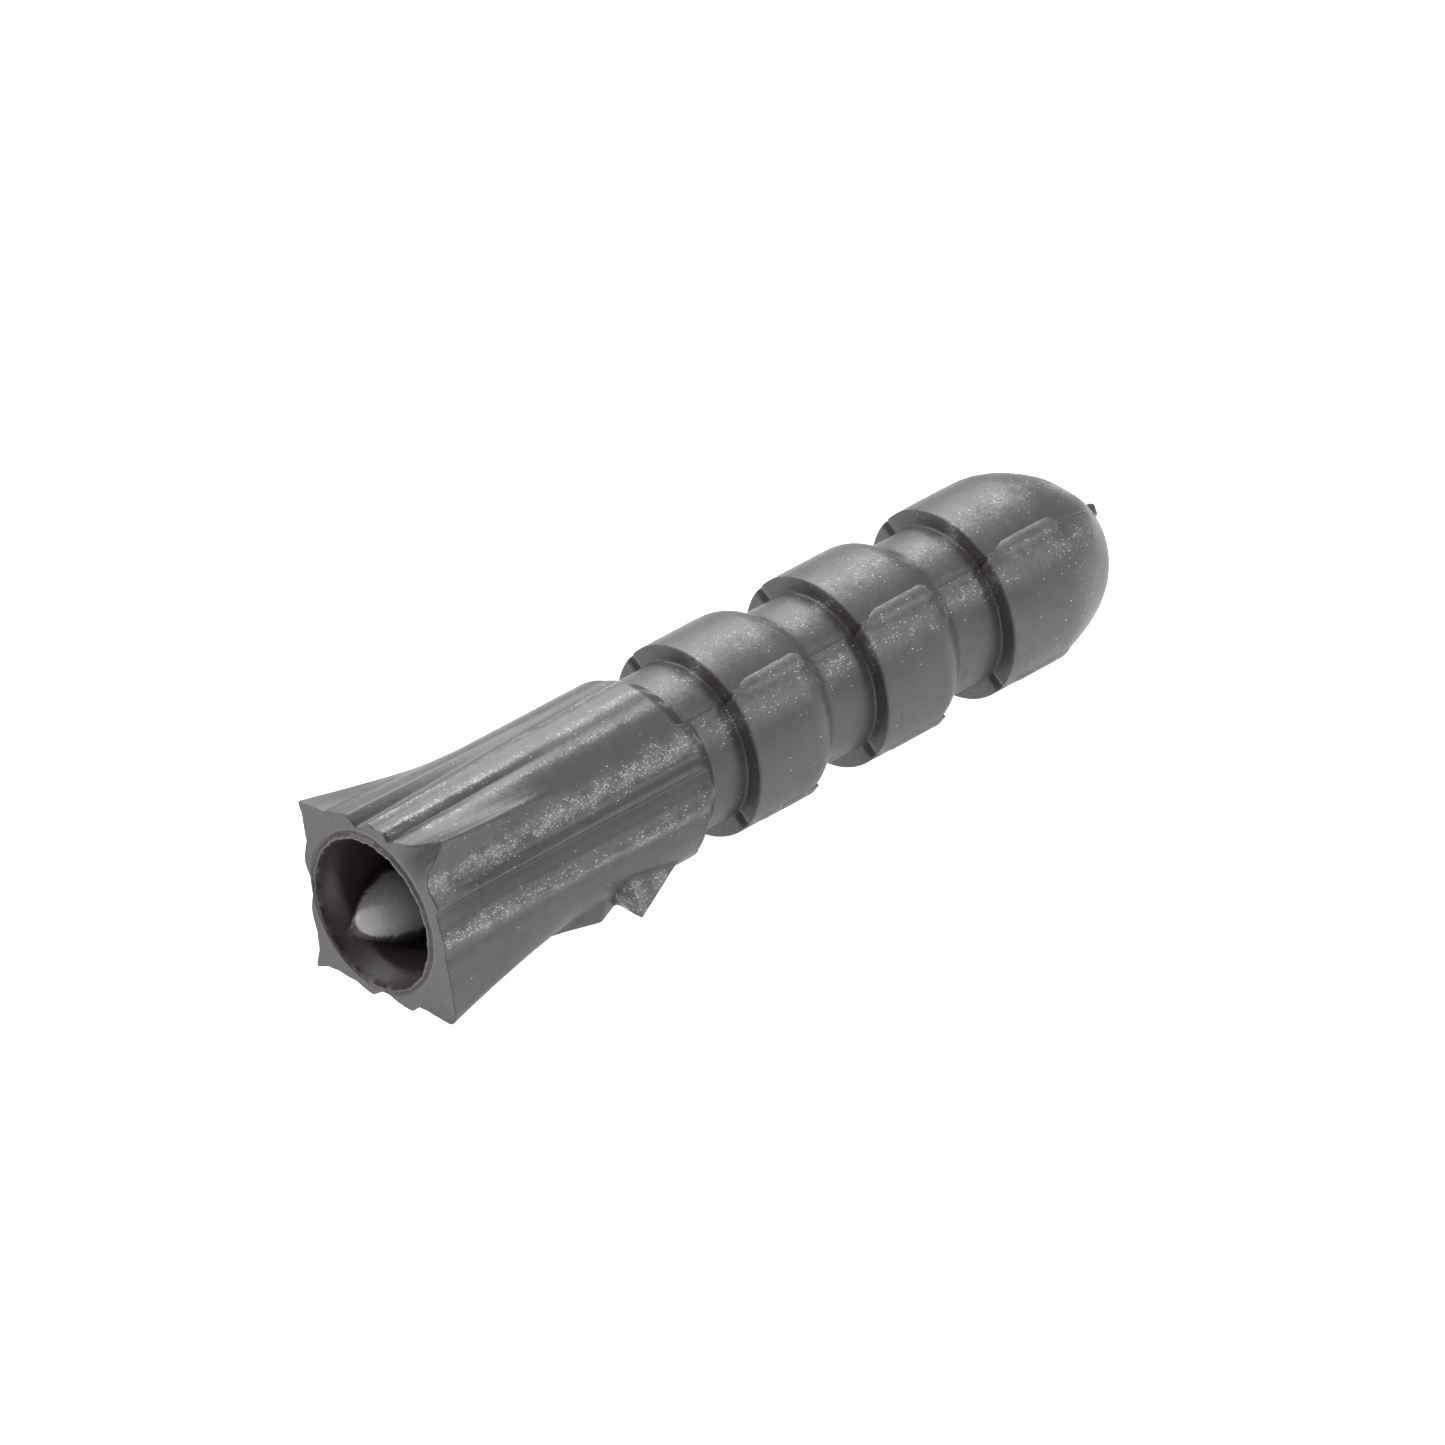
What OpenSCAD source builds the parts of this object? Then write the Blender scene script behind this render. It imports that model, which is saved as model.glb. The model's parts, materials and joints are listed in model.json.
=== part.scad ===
// Four-legged expansion anchor for masonry, lying on its side.
// The screw enters the mouth at y = 0 and drives the four legs apart; the tip points along +Y.

/* [Overall] */
// Diameter over the grip rings, which is the drill size
ring_d = 10; // [8:0.5:14]
// Length from the mouth to the flat end of the tip
anchor_len = 47.5; // [46:0.5:54]
// Diameter of the necks between the grip rings
neck_d = 8.24; // [7.6:0.02:8.6]
// Width of the slits between the legs
slit_w = 0.16; // [0.1:0.02:0.3]

/* [Collar] */
// Length of the collar, bevel included
collar_len = 17.9; // [16:0.1:18.5]
// Diameter of the collar over its small ridges
collar_d = 9.6; // [9.2:0.1:9.8]
// Length of the bevel at the back of the collar
bevel_len = 1.1; // [0.6:0.1:1.6]
// Diameter of the smooth mouth of the screw bore
mouth_d = 7.4; // [7.2:0.1:7.6]
// Depth of the smooth mouth, in front of the ribs
mouth_depth = 1.4; // [1:0.1:4]
// Diameter of the bore behind the mouth, where the ribs stand
bore_d = 7; // [6.8:0.1:7.1]
// Depth of the groove on the middle of each side, at the mouth
groove_depth = 0.5; // [0.3:0.05:0.6]

/* [Crush fins] */
// Reach of the four fins from the axis, at the mouth
fin_reach = 6.6; // [6:0.1:7]
// Length over which a fin runs out
fin_len = 8.3; // [6:0.1:10]
// Width of a fin where it meets the collar
fin_root_w = 3; // [2:0.1:3.4]

/* [Screw guide] */
// Diameter of the throat that centres the screw
throat_d = 3.7; // [3:0.1:4]
// Radius of each rounded rib inside the collar
rib_r = 1.7; // [1.4:0.05:1.75]
// Thickness of the wall that closes the back of the collar
root_wall = 2.4; // [1.6:0.1:3]

/* [Barbs] */
// Reach of the rear barb from the axis
rear_barb_reach = 6.35; // [5.6:0.05:6.8]
// Reach of the front barb from the axis; a longer one would lift the rings off the ground
front_barb_reach = 5.5; // [5.2:0.05:5.5]
// Thickness of a barb
barb_w = 0.9; // [0.5:0.1:1.2]

/* [Grip rings] */
// Distance from the mouth to the shoulder of the first ring
ring_start = 20.4; // [19.6:0.1:21]
// Distance from one shoulder to the next
ring_pitch = 8.55; // [8:0.05:8.8]
// Length of the cylindrical top of a ring
ring_len = 4.6; // [3.6:0.1:5]
// Length of the ramp behind a ring
ramp_len = 1.05; // [0.6:0.05:1.6]
// Width of the little webs that bridge the slits at the rings
web_w = 0.56; // [0.4:0.02:0.8]
// Radius of the flat end of the tip
tip_flat_r = 1.2; // [1.2:0.1:2.4]

/* [Hidden] */
$fn = 96;

// Directions round the axis, in degrees from +Z towards +X
TOP = 0;
RIGHT = 90;
BOTTOM = 180;
LEFT = 270;
TOP_RIGHT = 45;
BOTTOM_RIGHT = 135;
BOTTOM_LEFT = 225;
TOP_LEFT = 315;
FRONT_BARB_TURN = 150;

PLASTIC = "#605f63";
DARK_PLASTIC = "#545357";

ring_r = ring_d / 2;
neck_r = neck_d / 2;
collar_r = collar_d / 2;
bore_r = bore_d / 2;
mouth_r = mouth_d / 2;
throat_r = throat_d / 2;
legs_start = collar_len;
nose_start = ring_start + 2 * ring_pitch + ring_len - 0.6;
nose_len = anchor_len - nose_start;
half_slit = slit_w / 2;
web_clearance = 0.06;
web_inset = 0.4;
far = 3 * ring_d;

// Arc that starts tangent to the rear ring and ends on the rim of the flat tip
nose_drop = ring_r - tip_flat_r;
nose_arc_r = (nose_len * nose_len + nose_drop * nose_drop) / (2 * nose_drop);

// Shapes are drawn upright, with the axis along +Z, and laid along +Y by this module
module lay() { rotate([-90, 0, 0]) children(); }

// Turns a shape drawn on the +X side to a direction round the axis
module facing(turn) { rotate([0, 0, turn - 90]) children(); }

module tube_between(z0, z1, r) { translate([0, 0, z0]) cylinder(r = r, h = z1 - z0); }

// ---- Collar ----

// A groove cut by a round tool that runs out of the collar towards the back
module run_out_groove(tool_r, depth_front, depth_back, length) {
    rise = atan((depth_front - depth_back) / length);
    translate([collar_r - depth_front + tool_r, 0, 0])
        rotate([0, rise, 0])
            translate([0, 0, -1]) cylinder(r = tool_r, h = length + 2);
}

module collar_sleeve() {
    side_groove_r = 1.15;
    side_groove_back = 0.14;
    shoulder_groove_r = 0.9;
    shoulder_turn = 27;
    color(PLASTIC) lay() difference() {
        rotate_extrude() polygon([
            [mouth_r, 0],
            [collar_r, 0],
            [collar_r, collar_len - bevel_len],
            [neck_r, collar_len],
            [bore_r, collar_len],
            [bore_r, mouth_depth],
            [mouth_r, mouth_depth]
        ]);
        for (side = [TOP, RIGHT, BOTTOM, LEFT]) {
            facing(side) run_out_groove(side_groove_r, groove_depth, side_groove_back, collar_len);
            for (offset_turn = [-shoulder_turn, shoulder_turn])
                facing(side + offset_turn)
                    run_out_groove(shoulder_groove_r, 0.3, -0.02, fin_len);
        }
    }
}

// Wall at the back of the collar that the legs grow out of, with the throat through it
module leg_root_wall() {
    color(PLASTIC) lay() difference() {
        tube_between(collar_len - root_wall, collar_len, bore_r);
        tube_between(collar_len - root_wall - 1, collar_len + 1, throat_r);
    }
}

module crush_fin(turn) {
    $fn = 240;
    crest_w = 0.16;
    base_x = collar_r - 0.4;
    flank_r = 5.2;
    flank_x = 7.58;
    flank_y = 4.96;
    color(PLASTIC) lay() facing(turn) difference() {
        intersection() {
            linear_extrude(fin_len) difference() {
                polygon([
                    [base_x, -fin_root_w / 2],
                    [fin_reach, -crest_w / 2],
                    [fin_reach, crest_w / 2],
                    [base_x, fin_root_w / 2]
                ]);
                for (side = [-1, 1]) translate([flank_x, side * flank_y]) circle(flank_r);
            }
            cylinder(r1 = fin_reach, r2 = collar_r - 0.05, h = fin_len);
        }
        tube_between(-1, fin_len + 1, collar_r);
    }
}

// Rounded rib along the inside of the collar, with a ball nose that leads the screw in.
// Its crest stands just outside the throat, so that the way to the throat is free.
module screw_rib(turn) {
    back = collar_len - root_wall;
    centre_r = throat_r + rib_r + 0.05;
    nose_z = mouth_depth + rib_r;
    color(DARK_PLASTIC) lay() intersection() {
        facing(turn) translate([centre_r, 0, nose_z]) {
            sphere(rib_r);
            cylinder(r = rib_r, h = back - nose_z);
        }
        cylinder(r = bore_r, h = back);
    }
}

// A tooth that stands on the collar, drawn as points [distance from the mouth, reach]
module barb(turn, outline) {
    color(PLASTIC) lay() facing(turn) difference() {
        rotate([90, 0, 0]) translate([0, 0, -barb_w / 2]) linear_extrude(barb_w)
            polygon([for (point = outline) [point[1], point[0]]]);
        tube_between(0, collar_len, collar_r);
    }
}

module front_barb() {
    barb(FRONT_BARB_TURN, [[7.6, 4.5], [11.1, front_barb_reach], [11.45, 4.5]]);
}

module rear_barb() {
    barb(BOTTOM_RIGHT, [[11.4, 4.5], [12.1, rear_barb_reach], [15.2, 4.5]]);
}

// ---- Legs ----

// Everything between two slits, for a leg on the +X side
module leg_sector(half_gap_low, half_gap_high) {
    low = half_gap_low * sqrt(2);
    high = half_gap_high * sqrt(2);
    apex_x = (low + high) / 2;
    apex_y = (low - high) / 2;
    linear_extrude(2 * anchor_len) polygon([
        [apex_x, apex_y],
        [apex_x + far, apex_y - far],
        [apex_x + far, apex_y + far]
    ]);
}

// The channel narrows from just under the throat, so that the screw pushes the legs apart
module screw_channel() {
    start_r = throat_r - 0.05;
    end_r = 0.6;
    channel_end = nose_start + 2;
    translate([0, 0, legs_start])
        cylinder(r1 = start_r, r2 = end_r, h = channel_end - legs_start);
}

module leg_core(turn) {
    color(PLASTIC) lay() facing(turn) difference() {
        intersection() {
            tube_between(legs_start, nose_start, neck_r);
            leg_sector(half_slit, half_slit);
        }
        screw_channel();
    }
}

// Ring number 0, 1 or 2 counted from the mouth; its ends stop short of the seam webs
module leg_ring(turn, number) {
    front = ring_start + number * ring_pitch;
    last = number == 2;
    top_end = last ? nose_start : front + ring_len;
    foot = last ? nose_start : top_end + ramp_len;
    web_side = web_w / 2;
    color(PLASTIC) lay() facing(turn) intersection() {
        rotate_extrude() polygon([
            [neck_r, front], [ring_r, front], [ring_r, top_end], [neck_r, foot]
        ]);
        leg_sector(web_side + web_clearance, web_side);
    }
}

module leg_tip(turn) {
    color(PLASTIC) lay() facing(turn) difference() {
        intersection() {
            translate([0, 0, nose_start]) rotate_extrude() intersection() {
                translate([ring_r - nose_arc_r, 0]) circle(nose_arc_r, $fn = 200);
                square([ring_r, nose_len]);
            }
            leg_sector(half_slit, half_slit);
        }
        screw_channel();
    }
}

// Three narrow webs on one seam; they belong to the leg before it and clear the next one
module seam_webs(turn) {
    lift = 0.1;
    color(PLASTIC) lay() facing(turn) for (number = [0:2]) {
        front = ring_start + number * ring_pitch + web_inset;
        back = number == 2 ? nose_start : ring_start + number * ring_pitch + ring_len;
        intersection() {
            translate([0, -web_w / 2, front]) cube([far, web_w, back - front]);
            difference() {
                tube_between(0, anchor_len, ring_r);
                tube_between(0, anchor_len, neck_r + lift);
            }
        }
    }
}

// Stub left where the plastic entered the mould
module gate_nub() {
    nub_r = 0.42;
    nub_len = 0.55;
    nub_offset = 0.76;
    color(PLASTIC) lay() facing(TOP) translate([nub_offset, 0, anchor_len])
        cylinder(r1 = nub_r, r2 = nub_r * 0.8, h = nub_len);
}

collar_sleeve();
leg_root_wall();
crush_fin(TOP_RIGHT);  // crush_fin_top_right
crush_fin(BOTTOM_RIGHT);  // crush_fin_bottom_right
crush_fin(BOTTOM_LEFT);  // crush_fin_bottom_left
crush_fin(TOP_LEFT);  // crush_fin_top_left
screw_rib(TOP_RIGHT);  // screw_rib_top_right
screw_rib(BOTTOM_RIGHT);  // screw_rib_bottom_right
screw_rib(BOTTOM_LEFT);  // screw_rib_bottom_left
screw_rib(TOP_LEFT);  // screw_rib_top_left
front_barb();
rear_barb();
leg_core(TOP);  // leg_top_core
leg_ring(TOP, 0);  // leg_top_ring_front
leg_ring(TOP, 1);  // leg_top_ring_middle
leg_ring(TOP, 2);  // leg_top_ring_rear
leg_tip(TOP);  // leg_top_tip
leg_core(RIGHT);  // leg_right_core
leg_ring(RIGHT, 0);  // leg_right_ring_front
leg_ring(RIGHT, 1);  // leg_right_ring_middle
leg_ring(RIGHT, 2);  // leg_right_ring_rear
leg_tip(RIGHT);  // leg_right_tip
leg_core(BOTTOM);  // leg_bottom_core
leg_ring(BOTTOM, 0);  // leg_bottom_ring_front
leg_ring(BOTTOM, 1);  // leg_bottom_ring_middle
leg_ring(BOTTOM, 2);  // leg_bottom_ring_rear
leg_tip(BOTTOM);  // leg_bottom_tip
leg_core(LEFT);  // leg_left_core
leg_ring(LEFT, 0);  // leg_left_ring_front
leg_ring(LEFT, 1);  // leg_left_ring_middle
leg_ring(LEFT, 2);  // leg_left_ring_rear
leg_tip(LEFT);  // leg_left_tip
seam_webs(TOP_RIGHT);  // seam_webs_top_right
seam_webs(BOTTOM_RIGHT);  // seam_webs_bottom_right
seam_webs(BOTTOM_LEFT);  // seam_webs_bottom_left
seam_webs(TOP_LEFT);  // seam_webs_top_left
gate_nub();
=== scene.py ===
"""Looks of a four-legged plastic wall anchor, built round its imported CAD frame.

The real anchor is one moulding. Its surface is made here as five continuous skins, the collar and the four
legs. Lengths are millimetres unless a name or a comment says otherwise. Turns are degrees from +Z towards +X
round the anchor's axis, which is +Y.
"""

import json
import math

import bpy
import numpy as np
from mathutils import Matrix, Vector


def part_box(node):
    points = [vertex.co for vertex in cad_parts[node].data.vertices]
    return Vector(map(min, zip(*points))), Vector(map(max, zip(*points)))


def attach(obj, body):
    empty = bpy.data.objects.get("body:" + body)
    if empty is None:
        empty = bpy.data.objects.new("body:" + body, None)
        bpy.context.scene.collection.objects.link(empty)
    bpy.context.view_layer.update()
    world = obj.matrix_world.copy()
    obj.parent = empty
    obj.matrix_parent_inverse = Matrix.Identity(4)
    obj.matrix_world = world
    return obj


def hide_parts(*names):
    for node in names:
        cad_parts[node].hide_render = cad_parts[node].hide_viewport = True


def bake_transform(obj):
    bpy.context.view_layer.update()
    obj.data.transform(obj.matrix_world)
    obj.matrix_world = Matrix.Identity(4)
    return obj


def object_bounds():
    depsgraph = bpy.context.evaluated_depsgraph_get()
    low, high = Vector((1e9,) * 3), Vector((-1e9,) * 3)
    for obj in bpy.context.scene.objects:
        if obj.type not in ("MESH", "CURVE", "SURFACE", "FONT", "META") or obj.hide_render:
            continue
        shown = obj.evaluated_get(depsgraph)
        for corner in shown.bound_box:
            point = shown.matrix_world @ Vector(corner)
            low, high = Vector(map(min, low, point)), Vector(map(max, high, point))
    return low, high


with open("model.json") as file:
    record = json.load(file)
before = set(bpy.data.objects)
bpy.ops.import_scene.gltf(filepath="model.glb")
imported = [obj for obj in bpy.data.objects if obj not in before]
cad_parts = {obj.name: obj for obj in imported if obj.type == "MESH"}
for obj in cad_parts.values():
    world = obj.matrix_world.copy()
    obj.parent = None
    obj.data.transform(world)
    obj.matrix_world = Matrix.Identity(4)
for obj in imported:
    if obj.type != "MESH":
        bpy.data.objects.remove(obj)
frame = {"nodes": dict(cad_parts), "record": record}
CAD_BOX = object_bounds()
MM = 0.001


def mm_box(node):
    """Lowest and highest corner of a CAD node, in millimetres."""
    low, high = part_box(node)
    return np.array(low) / MM, np.array(high) / MM


# ---- Driving dimensions, read from the frame ----

Y, Z = 1, 2
RING_R = mm_box("leg_top_ring_front")[1][Z]
NECK_R = mm_box("leg_top_core")[1][Z]
COLLAR_LEN = mm_box("collar_sleeve")[1][Y]
ROOT_WALL_FRONT = mm_box("leg_root_wall")[0][Y]
RING_FRONTS = [mm_box("leg_top_ring_" + where)[0][Y] for where in ("front", "middle", "rear")]
NOSE_START = mm_box("leg_top_tip")[0][Y]
TIP_END = mm_box("leg_top_tip")[1][Y]

LEG_TURNS = {"top": 0, "right": 90, "bottom": 180, "left": 270}
SEAM_TURNS = {"top_right": 45, "bottom_right": 135, "bottom_left": 225, "top_left": 315}
SEAM_OWNERS = {"top_right": "top", "bottom_right": "right", "bottom_left": "bottom", "top_left": "left"}


# ---- Curves and numbers ----

def smooth_step(x, low, high):
    """0 below low, 1 above high and a smooth rise between; it falls instead if low is above high."""
    t = np.clip((x - low) / (high - low), 0, 1)
    return t * t * (3 - 2 * t)


def bump(x, width):
    """A soft hump of height 1 at x = 0."""
    return np.exp(-(x / width) ** 2)


def blunt_nose(share, fullness, bluntness):
    """Half width of a blunt nose, from 1 where share is 0 down to 0 at its end, where share is 1."""
    return (1 - share ** fullness) ** bluntness


def turn_between(a, b):
    """Signed difference of two turns, from -180 to 180 degrees."""
    return (a - b + 180) % 360 - 180


def spaced(start, end, step):
    """Numbers from start to end, both included, at most step apart."""
    count = max(2, int(math.ceil(abs(end - start) / step)) + 1)
    return np.linspace(start, end, count)


# The slow unevenness of a moulded skin: how many waves go round it, and their length along the axis.
WAVES = ((2, 9.0), (5, 4.1), (9, 2.3), (14, 1.35))
WAVE_HEIGHT = 0.010


def waviness(turn, y, seed):
    """How far the skin stands off its ideal shape; it repeats after a full turn."""
    angle = np.radians(turn)
    total = 0
    for number, (times_round, length) in enumerate(WAVES):
        phase = seed * 1.7 + number * 2.1
        total = total + np.sin(times_round * angle + phase) * np.sin(2 * math.pi * y / length + 1.3 * phase)
    return WAVE_HEIGHT * total / len(WAVES)


ROUNDING_STEPS = 6


def rounded_path(corners, step):
    """A polyline of (y, radius, rounding) corners with each corner rounded, as two arrays y and radius."""
    points = [np.array(corners[0][:2], float)]
    for before, corner, after in zip(corners, corners[1:], corners[2:]):
        previous, tip, following = (np.array(c[:2], float) for c in (before, corner, after))
        back, on = previous - tip, following - tip
        reach = min(corner[2], np.linalg.norm(back) * 0.49, np.linalg.norm(on) * 0.49)
        start = tip + back / np.linalg.norm(back) * reach
        end = tip + on / np.linalg.norm(on) * reach
        for t in np.linspace(0, 1, ROUNDING_STEPS + 1):
            points.append((1 - t) ** 2 * start + 2 * t * (1 - t) * tip + t * t * end)
    points.append(np.array(corners[-1][:2], float))
    filled = [points[0]]
    for start, end in zip(points, points[1:]):
        count = max(1, int(math.ceil(np.linalg.norm(end - start) / step)))
        filled += [start + (end - start) * (k + 1) / count for k in range(count)]
    filled = np.array(filled)
    return filled[:, 0], filled[:, 1]


# ---- Meshes ----

SHARP_ANGLE = math.radians(40)


def place(turn, radius, y):
    """Points [..., xyz] in millimetres from cylinder coordinates."""
    angle, radius, y = np.broadcast_arrays(np.radians(turn), radius, y)
    return np.stack((radius * np.sin(angle), y, radius * np.cos(angle)), axis=-1)


def mesh_piece(name, points, faces):
    """A shaded object from millimetre points and faces, with its normals outwards."""
    mesh = bpy.data.meshes.new(name)
    mesh.from_pydata((points * MM).tolist(), [], faces)
    mesh.update()
    mesh.validate()
    volume = sum(face.center.dot(face.normal) * face.area for face in mesh.polygons)
    if volume < 0:
        mesh.flip_normals()
    mesh.shade_smooth()
    mesh.set_sharp_from_angle(angle=SHARP_ANGLE)
    piece = bpy.data.objects.new(name, mesh)
    bpy.context.scene.collection.objects.link(piece)
    return piece


def loft(name, loops, close_rows=False):
    """A closed skin through loops of points [row, column, xyz]. The rows join into a ring or end in caps."""
    rows, columns = loops.shape[:2]
    index = np.arange(rows * columns).reshape(rows, columns)
    upper = np.roll(index, -1, axis=0) if close_rows else index[1:]
    lower = index if close_rows else index[:-1]
    quads = np.stack((lower, np.roll(lower, -1, axis=1), np.roll(upper, -1, axis=1), upper), axis=-1)
    faces = quads.reshape(-1, 4).tolist()
    if not close_rows:
        faces.append(index[0][::-1].tolist())
        faces.append(index[-1].tolist())
    return mesh_piece(name, loops.reshape(-1, 3), faces)


def paint(piece, painted_shade, spark_and_painted_glint):
    """Stores two numbers per point, or one for all points, for the material to read.

    The first number is painted light and shade: 0 on plain skin, 1 for the brown painted shade of a recess, 2
    for the darker painted shade in the bore and -1 for painted light on the bore's long rib. The second says
    how strongly the grains of the skin lean and how many painted glints it gets.
    """
    count = len(piece.data.vertices)
    for name, values in (("painted_shade", painted_shade), ("spark_and_painted_glint", spark_and_painted_glint)):
        layer = piece.data.attributes.new(name, "FLOAT", "POINT")
        per_point = np.ravel(values) if np.ndim(values) else np.full(count, values)
        layer.data.foreach_set("value", np.ascontiguousarray(per_point, dtype=np.float32))


# ---- Outside of the collar ----

BEVEL_START = 16.75
BEVEL_LEN = 1.1
BEVEL_TOP_R = 4.84

# The collar's outline, once round. Each knot has its turn and radius at the mouth, its turn and radius at the
# back, and the length over which the one fades into the other.
OUTLINE = (
    (-45.8, 6.38, -45, 4.80, 8.6),
    (-41, 5.86, -40, 4.80, 8.6),
    (-37, 5.54, -36, 4.80, 8.6),
    (-32, 5.16, -31, 4.80, 9),
    (-20, 4.94, -19, 4.80, 12),
    (-13, 4.88, -13, 4.78, 12),
    (-6, 4.26, -8, 4.66, 13),
    (0, 4.34, -4, 4.70, 13),
    (5, 4.76, 1, 4.83, 8),
    (11, 4.64, 8, 4.81, 9),
    (18, 4.82, 15, 4.86, 8),
    (23, 4.48, 22, 4.80, 11),
    (28, 4.94, 30, 4.86, 9),
    (37, 5.50, 37, 4.84, 9.3),
    (41, 5.95, 41, 4.84, 9.3),
    (44.2, 6.62, 44.2, 4.85, 9.3),
    (45.8, 6.62, 45.8, 4.85, 9.3),
    (49, 5.97, 49, 4.86, 9.3),
    (53, 5.40, 53, 4.87, 9.3),
    (58, 5.08, 58.5, 4.93, 9),
    (62, 4.92, 63, 4.62, 4),
    (67, 5.00, 67.5, 4.66, 5),
    (72.5, 5.06, 73, 4.92, 9),
    (75.5, 4.80, 76, 4.42, 4),
    (86, 4.80, 87, 4.54, 5),
    (94, 5.02, 96, 4.92, 8),
    (103, 5.02, 104, 4.66, 8),
    (115, 5.52, 116, 4.86, 9),
    (124, 6.09, 124, 4.88, 9.3),
    (130, 6.48, 130, 4.90, 9.3),
    (134, 6.60, 134, 4.92, 9.3),
    (137, 6.55, 137, 4.92, 9.3),
    (141, 5.98, 141, 4.93, 9),
    (146, 5.40, 146, 4.94, 9),
    (152, 5.05, 152, 4.95, 9),
    (159, 5.19, 159, 4.97, 9),
    (180, 4.30, 180, 4.90, 9),
    (191, 4.94, 191, 4.97, 9),
    (204, 4.90, 204, 4.94, 9),
    (217, 5.38, 217, 4.90, 8),
    (223, 5.90, 223, 4.88, 7.5),
    (226.6, 6.70, 226, 4.87, 7.5),
    (231.6, 5.72, 231, 4.86, 7),
    (240, 5.15, 240, 4.85, 7),
    (253, 4.86, 253, 4.84, 9),
    (267, 4.30, 265, 4.66, 14),
    (275, 4.42, 273, 4.72, 12),
    (284, 4.82, 283, 4.83, 9),
    (299, 4.92, 300, 4.84, 9),
    (307, 5.48, 307, 4.84, 7.4),
    (311, 5.80, 311, 4.84, 7.4),
)
FADE_CURVE = 1.2

# The outline's corners are softened by a weighted mean of turns beside each other: shift and weight.
SOFTENING = ((-1, 0.15), (-0.5, 0.22), (0, 0.26), (0.5, 0.22), (1, 0.15))
SOFT_TURN_FRONT = 0.8
SOFT_TURN_BACK = 2.0

# Where the bevel starts later or sooner: middle turn, degrees from it to the outside and to the inside of the
# change, and how much later.
BEVEL_STEPS = ((140, 96, 94, 0.4), (180, 46, 44, 0.2), (-45, 40, 30, -0.3))

# Saw teeth: turn, foot, tip and heel along the axis, height, half width in degrees.
REAR_BARB = (133, 11.65, 12.15, 15.9, 1.65, 12)
FRONT_BARB = (145, 7.6, 11.0, 12.9, 0.68, 15)


def collar_body_radius(turn, y):
    """Outer radius of the fluted collar with its four crush fins, at the given turns and one y."""
    front_turn, front_r, back_turn, back_r, fade_len = np.array(OUTLINE).T
    turned = np.clip(y / BEVEL_START, 0, 1) ** 2
    faded = np.clip(y / fade_len, 0, 1)
    at = front_turn + (back_turn - front_turn) * turned
    out = back_r + (front_r - back_r) * (1 - faded) ** FADE_CURVE
    soft = SOFT_TURN_FRONT + (SOFT_TURN_BACK - SOFT_TURN_FRONT) * turned
    return sum(weight * np.interp(turn + shift * soft, at, out, period=360) for shift, weight in SOFTENING)


def barb_height(turn, y, at_turn, foot, tip, heel, height, half_turn):
    """A saw tooth on the collar: it rises from foot to tip and falls to heel along the axis."""
    rise = np.where(y < tip, (y - foot) / (tip - foot), (heel - y) / (heel - tip))
    away = np.abs(turn_between(turn, at_turn)) / half_turn
    return height * np.clip(np.minimum(rise, 1) - away, 0, 1)


def bevel_radius(turn, y):
    """Radius of the bevel that closes the collar at the back; in front of the bevel it is infinite."""
    later = sum(
        length * smooth_step(np.abs(turn_between(turn, middle)), outside, inside)
        for middle, outside, inside, length in BEVEL_STEPS
    )
    over = np.clip((y - BEVEL_START - later) / BEVEL_LEN, 0, 1.2)
    return np.where(over > 0, BEVEL_TOP_R - (BEVEL_TOP_R - NECK_R) * over, np.inf)


def collar_radius(turn, y):
    """Outer radius of the collar with all that stands on it."""
    body = collar_body_radius(turn, y) + waviness(turn, y, seed=1)
    bevelled = np.minimum(body, bevel_radius(turn, y))
    return bevelled + barb_height(turn, y, *REAR_BARB) + barb_height(turn, y, *FRONT_BARB)


# ---- Mouth and bore ----

# The sunk rim and the lip of the bore are circles whose centres (x, z) lie off the axis.
RIM_CENTRE = (-0.08, -0.12)
RIM_R = 4.3
LIP_CENTRE = (-0.28, -0.36)
LIP_R = 3.86
BORE_R = 3.65
LIP_STEP = 0.05
THROAT_R = 1.85

# Rounded ribs in the bore, one by each seam: radius to the rib's centre, its own radius, where its nose
# starts along the axis, and how far it is turned from the seam.
RIBS = {
    "top_right": (3.6, 1.7, 3.4, 0),
    "bottom_right": (3.6, 1.7, 3.4, 0),
    "bottom_left": (3.8, 2.15, 0.85, 5),
    "top_left": (3.6, 1.7, 3.4, 0),
}
RIB_NOSE_LEN = 3.3
RIB_NOSE_SHAPE = (1.6, 0.68)

# Across the rim, from outside to inside: share of its width, and depth below the face.
RIM_SECTION = (
    (0.12, 0.02), (0.28, 0.08), (0.42, 0.16), (0.52, 0.20), (0.60, 0.19),
    (0.68, 0.13), (0.76, 0.09), (0.88, 0.08), (1, 0.11),
)
FULL_DEPTH_RIM = 0.6


def off_centre_radius(turn, centre, radius):
    """Distance from the axis to a circle whose centre (x, z) is off the axis."""
    angle = np.radians(turn)
    along = centre[0] * np.sin(angle) + centre[1] * np.cos(angle)
    across = centre[0] * np.cos(angle) - centre[1] * np.sin(angle)
    return along + np.sqrt(radius ** 2 - across ** 2)


def bore_radius(turn, y):
    """Radius of the hole through the collar, with the four rounded ribs that lead the screw in."""
    inside_lip = off_centre_radius(turn, LIP_CENTRE, LIP_R) - LIP_STEP
    radius = inside_lip + (BORE_R - inside_lip) * smooth_step(y, 0.1, 1.4)
    for seam, (centre_r, full_r, nose_y, off_seam) in RIBS.items():
        ahead = np.clip((nose_y + RIB_NOSE_LEN - y) / RIB_NOSE_LEN, 0, 1)
        rib_r = full_r * blunt_nose(ahead, *RIB_NOSE_SHAPE)
        away = np.radians(turn_between(turn, SEAM_TURNS[seam] + off_seam))
        inside = rib_r ** 2 - (centre_r * np.sin(away)) ** 2
        crest = centre_r * np.cos(away) - np.sqrt(np.maximum(inside, 0))
        on_this_side = np.abs(away) < 1
        radius = np.where((inside > 0) & on_this_side, np.minimum(radius, crest), radius)
    return radius


# ---- The collar's skin ----

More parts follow.
